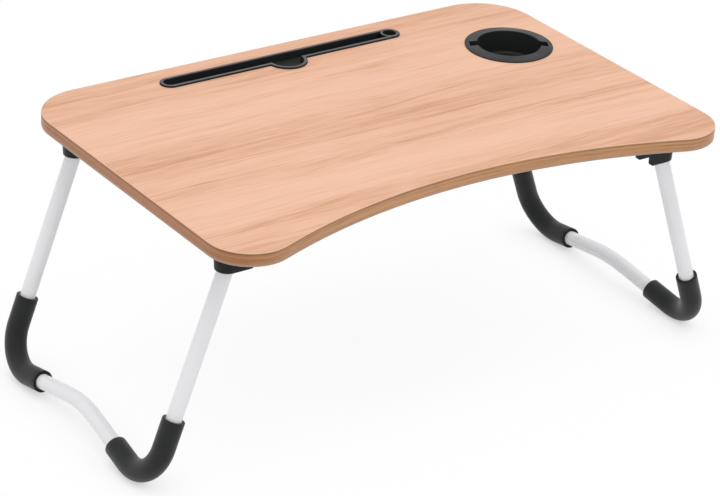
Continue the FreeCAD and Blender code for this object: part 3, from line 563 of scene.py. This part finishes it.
class LAPTOP_TABLE_OT_hinges(bpy.types.Operator):
    """Finish the hinge housings, their pins and their screws"""
    bl_idname = "laptop_table.hinges"
    bl_label = "Hinges"
    bl_options = {"REGISTER", "UNDO"}

    def execute(self, context):
        colours = look("plastic")
        black = moulded_plastic("housing_plastic", colours.housing, colours.housing, 0.0, roughness=0.38)
        blackened = turned_steel("blackened_steel", colours.pin)
        for end, side in CORNERS:
            dress(f"hinge_housing_{end}_{side}", black)
            dress(f"pivot_pin_{end}_{side}", blackened)
        dress("housing_screws", turned_steel("zinc_plated_steel", colours.screw))
        return {"FINISHED"}


class LAPTOP_TABLE_OT_legs(bpy.types.Operator):
    """Finish the leg tubes and their plugs"""
    bl_idname = "laptop_table.legs"
    bl_label = "Legs"
    bl_options = {"REGISTER", "UNDO"}

    def execute(self, context):
        paint = white_paint()
        colours = look("plastic")
        nylon = moulded_plastic("plug_nylon", colours.housing, colours.housing, 0.0, roughness=0.5)
        for side in SIDES:
            dress(f"leg_tube_{side}", paint)
        for end, side in CORNERS:
            dress(f"tube_plug_{end}_{side}", nylon)
        return {"FINISHED"}


class LAPTOP_TABLE_OT_sleeves(bpy.types.Operator):
    """Make the soft foot sleeves over the legs' bends"""
    bl_idname = "laptop_table.sleeves"
    bl_label = "Foot Sleeves"
    bl_options = {"REGISTER", "UNDO"}

    def execute(self, context):
        size = look("leg")
        finishes = (sleeve_foam("charcoal_sleeve_foam", size.sleeve),
                    sleeve_foam("sleeve_end_shade_foam", size.sleeve_end_shade))
        plain = self.model(size.sleeve_upper, size.sleeve_lower, finishes)
        own = {
            ("front", "right"): self.model(
                size.sleeve_upper - size.sleeve_slip, size.sleeve_lower + size.sleeve_slip, finishes),
            ("rear", "right"): self.model(
                size.sleeve_upper + size.sleeve_spare, size.sleeve_lower, finishes),
        }
        for end, side in CORNERS:
            piece = own.get((end, side))
            if piece is None:
                select_only(plain)
                bpy.ops.object.duplicate()
                piece = bpy.context.object
            piece.name = piece.data.name = f"soft_foot_sleeve_{end}_{side}"
            self.put_on_leg(piece, ENDS[end], side)
            settle(piece, f"{side}_leg", f"foot_sleeve_{end}_{side}")
        bpy.data.objects.remove(plain)
        return {"FINISHED"}

    def model(self, upper, lower, finishes):
        """One sleeve on a rear bend, drawn upright about the leg's pivot."""
        size = look("leg")
        upright, foot = size.span / 2, -size.reach
        bpy.ops.object.select_all(action="DESELECT")
        bpy.ops.mesh.primitive_circle_add(
            vertices=SLEEVE_SIDES, radius=size.sleeve_radius, location=(0, upright, foot + upper))
        piece = bpy.context.object
        bpy.ops.object.transform_apply(location=True, rotation=True, scale=True)
        for finish in finishes:
            piece.data.materials.append(finish)
        with editing(piece, "EDGE"):
            bpy.ops.mesh.select_all(action="SELECT")
            self.draw_out(Vector((0, 0, -upper)))
            bpy.ops.mesh.spin(
                steps=BEND_STEPS, angle=math.pi / 2 + size.rise, axis=(1, 0, 0),
                center=(0, upright - size.bend, foot))
            self.draw_out(Vector((0, -math.cos(size.rise), math.sin(size.rise))) * lower)
            bpy.ops.mesh.select_all(action="SELECT")
            bpy.ops.mesh.remove_doubles(threshold=MERGE_DISTANCE)
            bpy.ops.mesh.normals_make_consistent(inside=False)
        wall = piece.modifiers.new("wall", "SOLIDIFY")
        wall.thickness = size.sleeve_wall
        wall.offset = -1
        # The bores and cut ends take the near-black finish, painted shade in the sleeves' mouths
        wall.material_offset = wall.material_offset_rim = 1
        lip = piece.modifiers.new("lip", "BEVEL")
        lip.width = size.sleeve_lip
        lip.segments = LIP_SEGMENTS
        lip.limit_method = "ANGLE"
        lip.angle_limit = LIP_ANGLE
        select_only(piece)
        for modifier in ("wall", "lip"):
            bpy.ops.object.modifier_apply(modifier=modifier)
        return piece

    def draw_out(self, way):
        """Draw the selected ring out into a straight end."""
        for _ in range(STRAIGHT_STEPS):
            bpy.ops.mesh.extrude_edges_move(TRANSFORM_OT_translate={"value": way / STRAIGHT_STEPS})

    def put_on_leg(self, piece, end, side):
        """Turn a sleeve to its end of the leg, lean it and carry it to the pivot."""
        piece.location = PIVOTS[f"{side}_leg"]
        piece.rotation_euler = (0, -end * SIDES[side] * look("leg").splay, 0 if end > 0 else math.pi)
        select_only(piece)
        bpy.ops.object.transform_apply(location=True, rotation=True, scale=True)


def seen_directly(tree):
    """One for rays that show a surface as it is, straight on or through gloss and glass, else zero."""
    rays = tree.nodes.new("ShaderNodeLightPath")
    total = None
    for name in ("Is Camera Ray", "Is Glossy Ray", "Is Transmission Ray"):
        ray = rays.outputs[name]
        if total is not None:
            larger = tree.nodes.new("ShaderNodeMath")
            larger.operation = "MAXIMUM"
            tree.links.new(total, larger.inputs[0])
            tree.links.new(ray, larger.inputs[1])
            ray = larger.outputs[0]
        total = ray
    return total


def white_floor(stage):
    """Pale floor that is seen almost white, with a painted soft shadow under the table and round its feet.
    """
    finish = Finish("pale_floor")
    seen = seen_directly(finish.tree)
    under_board = finish.ramp(finish.cover(BOARD_REACH), UNDER_BOARD)
    round_feet = finish.ramp(finish.cover(FEET_REACH), ROUND_FEET)
    shade = finish.blend(1.0, under_board, round_feet, "MULTIPLY")
    dimmed = scaled(stage.floor, 1 - stage.floor_white)
    underneath = finish.add("ShaderNodeNewGeometry", output="Backfacing")
    finish.set(Base_Color=finish.blend(seen, stage.floor, dimmed), Roughness=1.0, Specular_IOR_Level=0.0,
               Emission_Color=shade, Emission_Strength=finish.math("MULTIPLY", seen, stage.floor_white),
               Alpha=finish.math("SUBTRACT", 1.0, underneath))
    return finish.material


class LAPTOP_TABLE_OT_stage(bpy.types.Operator):
    """Set up the floor, the lamps and the camera"""
    bl_idname = "laptop_table.stage"
    bl_label = "Stage"
    bl_options = {"REGISTER", "UNDO"}

    def execute(self, context):
        stage = look("stage")
        self.lay_floor(stage)
        self.light(stage)
        camera = bpy.data.cameras.new("camera")
        camera.sensor_width = 36
        camera.sensor_fit = "HORIZONTAL"
        camera.lens = stage.lens
        camera.clip_end = 100
        stand = bpy.data.objects.new("camera", camera)
        stand.location = stage.camera_place
        stand.rotation_euler = stage.camera_turn
        bpy.context.scene.collection.objects.link(stand)
        bpy.context.scene.camera = stand
        bpy.context.scene.view_settings.view_transform = "Standard"
        return {"FINISHED"}

    def lay_floor(self, stage):
        bpy.ops.object.select_all(action="DESELECT")
        bpy.ops.mesh.primitive_plane_add(size=stage.floor_size, location=(0, 0, -stage.floor_drop))
        floor = bpy.context.object
        floor.name = "floor"
        floor.data.materials.append(white_floor(stage))

    def light(self, stage):
        world = bpy.data.worlds.new("studio")
        world.use_nodes = True
        bpy.context.scene.world = world
        nodes, links = world.node_tree.nodes, world.node_tree.links
        nodes.clear()
        way = nodes.new("ShaderNodeSeparateXYZ")
        links.new(nodes.new("ShaderNodeTexCoord").outputs["Generated"], way.inputs["Vector"])
        glow = nodes.new("ShaderNodeMapRange")
        glow.inputs["To Min"].default_value = stage.sky_low
        glow.inputs["To Max"].default_value = stage.sky_high
        links.new(way.outputs["Z"], glow.inputs["Value"])
        level = nodes.new("ShaderNodeMapRange")
        links.new(glow.outputs[0], level.inputs["To Min"])
        level.inputs["To Max"].default_value = 1.0
        links.new(seen_directly(world.node_tree), level.inputs["Value"])
        sky = nodes.new("ShaderNodeBackground")
        sky.inputs["Color"].default_value = (1, 1, 1, 1)
        links.new(level.outputs[0], sky.inputs["Strength"])
        output = nodes.new("ShaderNodeOutputWorld")
        links.new(sky.outputs[0], output.inputs["Surface"])
        lamp = bpy.data.lights.new("key", "AREA")
        lamp.shape = "RECTANGLE"
        lamp.size, lamp.size_y = stage.key_width, stage.key_depth
        lamp.energy = stage.key
        holder = bpy.data.objects.new("key", lamp)
        holder.location = stage.key_place
        aim = Vector((0, 0, stage.key_aim)) - holder.location
        holder.rotation_euler = aim.to_track_quat("-Z", "Y").to_euler()
        bpy.context.scene.collection.objects.link(holder)


PIECES = (
    LAPTOP_TABLE_OT_board,
    LAPTOP_TABLE_OT_edge_band,
    LAPTOP_TABLE_OT_inserts,
    LAPTOP_TABLE_OT_hinges,
    LAPTOP_TABLE_OT_legs,
    LAPTOP_TABLE_OT_sleeves,
    LAPTOP_TABLE_OT_stage,
)


class VIEW3D_PT_laptop_table(bpy.types.Panel):
    """Sizes, colours and makers of the laptop table"""
    bl_label = "Laptop Table"
    bl_space_type = "VIEW_3D"
    bl_region_type = "UI"
    bl_category = "Laptop Table"

    def draw(self, context):
        for group, kind in GROUPS.items():
            box = self.layout.box()
            for name in kind.__annotations__:
                box.prop(look(group), name)
        for maker in PIECES:
            self.layout.operator(maker.bl_idname)


CLASSES = (*GROUPS.values(), *PIECES, VIEW3D_PT_laptop_table)


def register():
    for item in CLASSES:
        bpy.utils.register_class(item)
    for group, kind in GROUPS.items():
        setattr(bpy.types.Scene, f"laptop_table_{group}", PointerProperty(type=kind))


def unregister():
    for group in GROUPS:
        delattr(bpy.types.Scene, f"laptop_table_{group}")
    for item in reversed(CLASSES):
        bpy.utils.unregister_class(item)


def main():
    register()
    bpy.ops.laptop_table.board()
    bpy.ops.laptop_table.edge_band()
    bpy.ops.laptop_table.inserts()
    bpy.ops.laptop_table.hinges()
    bpy.ops.laptop_table.legs()
    bpy.ops.laptop_table.sleeves()
    bpy.ops.laptop_table.stage()


if __name__ == "__main__":
    main()
